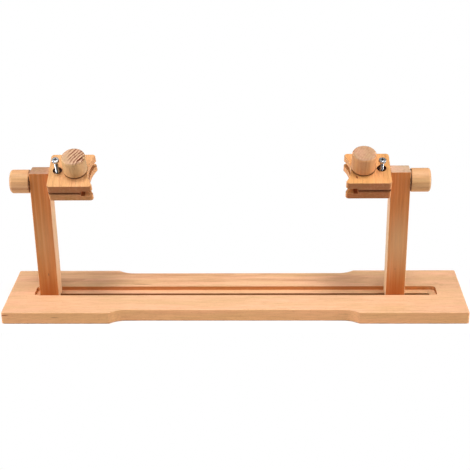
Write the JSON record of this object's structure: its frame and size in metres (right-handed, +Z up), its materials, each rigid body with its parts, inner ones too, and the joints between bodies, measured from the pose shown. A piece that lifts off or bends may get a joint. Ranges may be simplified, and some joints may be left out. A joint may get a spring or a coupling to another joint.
{
  "type": "embroidery hoop stand",
  "caption": "Wooden stand that holds an embroidery hoop between tilting, sliding clamp heads on uprights that run in a slotted base board.",
  "frame": {"origin": "centre of the base board on the plane that it stands on", "axes": "+X along the base board to the right, +Y away from the user, +Z up"},
  "size_m": [0.6, 0.124, 0.2197],
  "materials": {
    "board_beech": "pale beech, oiled",
    "post_beech": "beech, oiled",
    "jaw_beech": "beech, oiled",
    "knob_beech": "turned beech, bare",
    "zinc_steel": "bright zinc plate",
    "brass": "machined"
  },
  "bodies": {
    "base": {"base_board": "board_beech"},
    "left_upright": {"left_upright": "post_beech", "left_foot_insert": "brass"},
    "left_foot_washer": {"left_foot_washer": "zinc_steel"},
    "left_foot_bolt": {"left_foot_bolt": "zinc_steel"},
    "left_tilt_washer": {"left_tilt_washer": "zinc_steel"},
    "left_tilt_knob": {"left_tilt_knob": "knob_beech", "left_tilt_knob_insert": "brass"},
    "left_head": {"left_lower_jaw": "jaw_beech", "left_tilt_bolt": "zinc_steel", "left_clamp_bolt": "zinc_steel"},
    "left_upper_jaw": {"left_upper_jaw": "jaw_beech", "left_jack_insert": "brass", "left_clamp_washer": "zinc_steel"},
    "left_clamp_knob": {"left_clamp_knob": "knob_beech", "left_clamp_knob_insert": "brass"},
    "left_jack_screw": {"left_jack_screw": "zinc_steel"},
    "right_upright": {"right_upright": "post_beech", "right_foot_insert": "brass"},
    "right_foot_washer": {"right_foot_washer": "zinc_steel"},
    "right_foot_bolt": {"right_foot_bolt": "zinc_steel"},
    "right_tilt_washer": {"right_tilt_washer": "zinc_steel"},
    "right_tilt_knob": {"right_tilt_knob": "knob_beech", "right_tilt_knob_insert": "brass"},
    "right_head": {"right_lower_jaw": "jaw_beech", "right_tilt_bolt": "zinc_steel", "right_clamp_bolt": "zinc_steel"},
    "right_upper_jaw": {"right_upper_jaw": "jaw_beech", "right_jack_insert": "brass", "right_clamp_washer": "zinc_steel"},
    "right_clamp_knob": {"right_clamp_knob": "knob_beech", "right_clamp_knob_insert": "brass"},
    "right_jack_screw": {"right_jack_screw": "zinc_steel"}
  },
  "joints": [
    {"name": "left_upright_slide", "type": "slide", "parent": "base", "child": "left_upright", "axis": [1, 0, 0], "range_m": [-0.004, 0.174]},
    {"name": "left_foot_washer_drop", "type": "slide", "parent": "left_upright", "child": "left_foot_washer", "axis": [0, 0, -1], "range_m": [0, 0.0005]},
    {"name": "left_foot_bolt_turn", "type": "hinge", "parent": "left_foot_washer", "child": "left_foot_bolt", "pos_m": [-0.2456, 0, 0], "axis": [0, 0, -1], "range_deg": [0, 180]},
    {"name": "left_tilt_washer_shift", "type": "slide", "parent": "left_upright", "child": "left_tilt_washer", "axis": [-1, 0, 0], "range_m": [0, 0.005]},
    {"name": "left_tilt_knob_turn", "type": "hinge", "parent": "left_tilt_washer", "child": "left_tilt_knob", "pos_m": [-0.2456, 0, 0.1728], "axis": [-1, 0, 0], "range_deg": [0, 1800]},
    {"name": "left_head_tilt", "type": "hinge", "parent": "left_upright", "child": "left_head", "pos_m": [-0.2456, 0, 0.1728], "axis": [1, 0, 0], "continuous": true},
    {"name": "left_upper_jaw_lift", "type": "slide", "parent": "left_head", "child": "left_upper_jaw", "axis": [0, -0.4305, 0.9026], "range_m": [-0.0015, 0.01]},
    {"name": "left_clamp_knob_turn", "type": "hinge", "parent": "left_upper_jaw", "child": "left_clamp_knob", "pos_m": [-0.1986, 0, 0.1728], "axis": [0, -0.4305, 0.9026], "range_deg": [-540, 3600]},
    {"name": "left_jack_screw_travel", "type": "slide", "parent": "left_upper_jaw", "child": "left_jack_screw", "axis": [0, -0.4305, 0.9026], "range_m": [-0.0035, 0.0025]},
    {"name": "right_upright_slide", "type": "slide", "parent": "base", "child": "right_upright", "axis": [1, 0, 0], "range_m": [-0.139, 0.039]},
    {"name": "right_foot_washer_drop", "type": "slide", "parent": "right_upright", "child": "right_foot_washer", "axis": [0, 0, -1], "range_m": [0, 0.0005]},
    {"name": "right_foot_bolt_turn", "type": "hinge", "parent": "right_foot_washer", "child": "right_foot_bolt", "pos_m": [0.2105, 0, 0], "axis": [0, 0, -1], "range_deg": [0, 180]},
    {"name": "right_tilt_washer_shift", "type": "slide", "parent": "right_upright", "child": "right_tilt_washer", "axis": [1, 0, 0], "range_m": [0, 0.005]},
    {"name": "right_tilt_knob_turn", "type": "hinge", "parent": "right_tilt_washer", "child": "right_tilt_knob", "pos_m": [0.2105, 0, 0.1728], "axis": [1, 0, 0], "range_deg": [0, 1800]},
    {"name": "right_head_tilt", "type": "hinge", "parent": "right_upright", "child": "right_head", "pos_m": [0.2105, 0, 0.1728], "axis": [1, 0, 0], "continuous": true},
    {"name": "right_upper_jaw_lift", "type": "slide", "parent": "right_head", "child": "right_upper_jaw", "axis": [0, -0.3584, 0.9336], "range_m": [0, 0.01]},
    {"name": "right_clamp_knob_turn", "type": "hinge", "parent": "right_upper_jaw", "child": "right_clamp_knob", "pos_m": [0.1635, 0, 0.1728], "axis": [0, -0.3584, 0.9336], "range_deg": [0, 3600]},
    {"name": "right_jack_screw_travel", "type": "slide", "parent": "right_upper_jaw", "child": "right_jack_screw", "axis": [0, -0.3584, 0.9336], "range_m": [0, 0.0075]}
  ],
  "couplings": [
    {"joint": "left_foot_bolt_turn", "follows": "left_foot_washer_drop", "rad_per_m": 6283.2},
    {"joint": "left_tilt_knob_turn", "follows": "left_tilt_washer_shift", "rad_per_m": 6283.2},
    {"joint": "left_clamp_knob_turn", "follows": "left_upper_jaw_lift", "rad_per_m": 6283.2},
    {"joint": "right_foot_bolt_turn", "follows": "right_foot_washer_drop", "rad_per_m": 6283.2},
    {"joint": "right_tilt_knob_turn", "follows": "right_tilt_washer_shift", "rad_per_m": 6283.2},
    {"joint": "right_clamp_knob_turn", "follows": "right_upper_jaw_lift", "rad_per_m": 6283.2}
  ]
}
